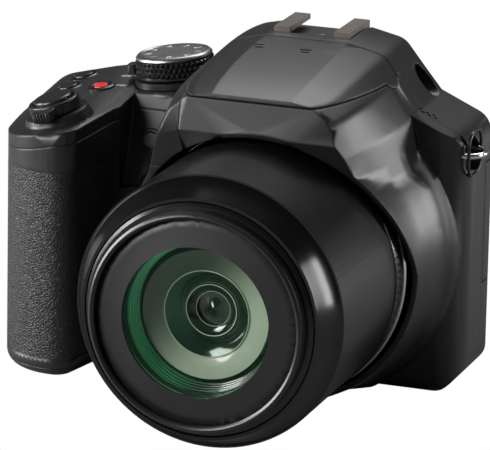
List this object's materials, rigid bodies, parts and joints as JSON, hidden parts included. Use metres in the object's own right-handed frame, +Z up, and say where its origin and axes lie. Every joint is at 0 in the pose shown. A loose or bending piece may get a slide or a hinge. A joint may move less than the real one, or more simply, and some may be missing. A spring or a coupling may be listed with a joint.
{
  "type": "bridge camera",
  "caption": "Bridge camera with a deep hand grip, a long zoom lens in two sliding stages, a flash hump with hot shoe, an eye-level viewfinder and a rear screen.",
  "frame": {"origin": "centre of the tripod socket mouth, on the base plane, straight below the lens axis", "axes": "+Z up out of the base, the lens looks along -Y, the hand grip is at -X and the socket door at +X"},
  "size_m": [0.1347, 0.1192, 0.0935],
  "materials": {
    "shell": "fine textured black",
    "grip": "grained black skin",
    "barrel": "satin black",
    "silver": "bright",
    "optic": "coated",
    "clear": "clear",
    "dark": "moulded",
    "control": "satin black",
    "record": "black with a red centre",
    "rubber": "soft matt",
    "steel": "plain",
    "shoe": "moulded",
    "board": "green laminate",
    "cell": "printed wrap"
  },
  "bodies": {
    "camera_body": {"accent_ring": "silver", "af_lamp_window": "clear", "battery": "cell", "battery_box": "dark", "bottom_cover": "shell", "eyecup": "rubber", "eyepiece_lens": "optic", "flash_capacitor": "steel", "front_cover": "shell", "grip_skin": "grip", "hinge_pins": "silver", "housing_screws": "steel", "image_sensor": "dark", "lcd_panel": "dark", "lens_front_band": "barrel", "lens_outer_barrel": "barrel", "main_board": "board", "rear_cover": "shell", "rear_lens": "optic", "rear_lens_holder": "barrel", "screen_glass": "clear", "shoe_base": "shoe", "shoe_contacts": "steel", "shoe_rails": "steel", "socket_block": "dark", "strap_eyelets": "silver", "thumb_rest": "grip", "top_cover": "shell", "tripod_bush": "steel", "viewfinder_display": "dark", "zoom_motor": "steel"},
    "zoom_stage_one": {"zoom_barrel_one": "barrel"},
    "zoom_stage_two": {"zoom_barrel_two": "barrel", "filter_ring": "barrel", "name_plate": "barrel", "front_glass": "optic"},
    "cam": {"cam_ring": "barrel"},
    "flash": {"flash_lid": "shell", "flash_head": "dark", "flash_window": "clear"},
    "dial": {"mode_dial": "control", "mode_dial_cap": "control"},
    "power": {"power_lever": "control"},
    "zoom": {"zoom_lever": "control"},
    "shutter": {"shutter_button": "control"},
    "movie": {"movie_button": "record"},
    "function": {"function_button": "control"},
    "drive": {"drive_button": "control"},
    "view": {"view_button": "control"},
    "lock": {"lock_button": "control"},
    "play": {"play_button": "control"},
    "quick": {"quick_button": "control"},
    "display": {"display_button": "control"},
    "menu": {"menu_button": "control"},
    "pad": {"four_way_pad": "control"},
    "rear_wheel": {"rear_dial": "control"},
    "diopter": {"diopter_dial": "control"},
    "battery_hatch": {"battery_door": "shell"},
    "latch": {"door_latch": "control"},
    "socket_hatch": {"socket_door": "shell"}
  },
  "joints": [
    {"name": "zoom_stage_one_slide", "type": "slide", "parent": "camera_body", "child": "zoom_stage_one", "axis": [0, -1, 0], "range_m": [0, 0.032]},
    {"name": "zoom_stage_two_slide", "type": "slide", "parent": "zoom_stage_one", "child": "zoom_stage_two", "axis": [0, -1, 0], "range_m": [0, 0.032]},
    {"name": "cam_ring_turn", "type": "hinge", "parent": "camera_body", "child": "cam", "pos_m": [0, -0.06, 0.0383], "axis": [0, -1, 0], "range_deg": [0, 120]},
    {"name": "flash_lid_hinge", "type": "hinge", "parent": "camera_body", "child": "flash", "pos_m": [-0.0018, -0.0135, 0.0884], "axis": [-1, 0, 0], "range_deg": [0, 60]},
    {"name": "mode_dial_turn", "type": "hinge", "parent": "camera_body", "child": "dial", "pos_m": [-0.0425, 0.003, 0.0729], "axis": [-0.1219, 0, 0.9925], "continuous": true},
    {"name": "power_lever_turn", "type": "hinge", "parent": "camera_body", "child": "power", "pos_m": [-0.0425, 0.003, 0.0729], "axis": [-0.1219, 0, 0.9925], "range_deg": [0, 25]},
    {"name": "zoom_lever_turn", "type": "hinge", "parent": "camera_body", "child": "zoom", "pos_m": [-0.0645, -0.0295, 0.0706], "axis": [-0.2587, -0.1218, 0.9582], "range_deg": [-20, 20], "stiffness_Nm_per_rad": 0.02},
    {"name": "shutter_press", "type": "slide", "parent": "camera_body", "child": "shutter", "axis": [0.2587, 0.1218, -0.9582], "range_m": [0, 0.0012], "stiffness_N_per_m": 600},
    {"name": "movie_press", "type": "slide", "parent": "camera_body", "child": "movie", "axis": [0.1647, 0.1045, -0.9808], "range_m": [0, 0.0005], "stiffness_N_per_m": 800},
    {"name": "function_press", "type": "slide", "parent": "camera_body", "child": "function", "axis": [0.2503, 0.1045, -0.9625], "range_m": [0, 0.0005], "stiffness_N_per_m": 800},
    {"name": "drive_press", "type": "slide", "parent": "camera_body", "child": "drive", "axis": [0.2503, 0.1045, -0.9625], "range_m": [0, 0.0005], "stiffness_N_per_m": 800},
    {"name": "view_press", "type": "slide", "parent": "camera_body", "child": "view", "axis": [0, -1, 0], "range_m": [0, 0.0005], "stiffness_N_per_m": 800},
    {"name": "lock_press", "type": "slide", "parent": "camera_body", "child": "lock", "axis": [0, -1, 0], "range_m": [0, 0.0005], "stiffness_N_per_m": 800},
    {"name": "play_press", "type": "slide", "parent": "camera_body", "child": "play", "axis": [0, -1, 0], "range_m": [0, 0.0005], "stiffness_N_per_m": 800},
    {"name": "quick_press", "type": "slide", "parent": "camera_body", "child": "quick", "axis": [0, -1, 0], "range_m": [0, 0.0005], "stiffness_N_per_m": 800},
    {"name": "display_press", "type": "slide", "parent": "camera_body", "child": "display", "axis": [0, -1, 0], "range_m": [0, 0.0005], "stiffness_N_per_m": 800},
    {"name": "menu_press", "type": "slide", "parent": "camera_body", "child": "menu", "axis": [0, -1, 0], "range_m": [0, 0.0005], "stiffness_N_per_m": 800},
    {"name": "pad_press", "type": "slide", "parent": "camera_body", "child": "pad", "axis": [0, -1, 0], "range_m": [0, 0.0005], "stiffness_N_per_m": 800},
    {"name": "rear_dial_turn", "type": "hinge", "parent": "camera_body", "child": "rear_wheel", "pos_m": [-0.066, 0.0083, 0.0608], "axis": [0, 0, 1], "continuous": true},
    {"name": "diopter_turn", "type": "hinge", "parent": "camera_body", "child": "diopter", "pos_m": [0.0205, 0.007, 0.08], "axis": [1, 0, 0], "range_deg": [-150, 150]},
    {"name": "battery_door_hinge", "type": "hinge", "parent": "camera_body", "child": "battery_hatch", "pos_m": [-0.06575, 0.0045, 0.0009], "axis": [1, 0, 0], "range_deg": [0, 85]},
    {"name": "door_latch_slide", "type": "slide", "parent": "battery_hatch", "child": "latch", "axis": [1, 0, 0], "range_m": [0, 0.0025]},
    {"name": "socket_door_hinge", "type": "hinge", "parent": "camera_body", "child": "socket_hatch", "pos_m": [0.0444, 0.0042, 0.0435], "axis": [0, 0, -1], "range_deg": [0, 90]}
  ],
  "couplings": [
    {"joint": "zoom_stage_two_slide", "follows": "zoom_stage_one_slide", "ratio": 1},
    {"joint": "cam_ring_turn", "follows": "zoom_stage_one_slide", "rad_per_m": 65.45}
  ]
}
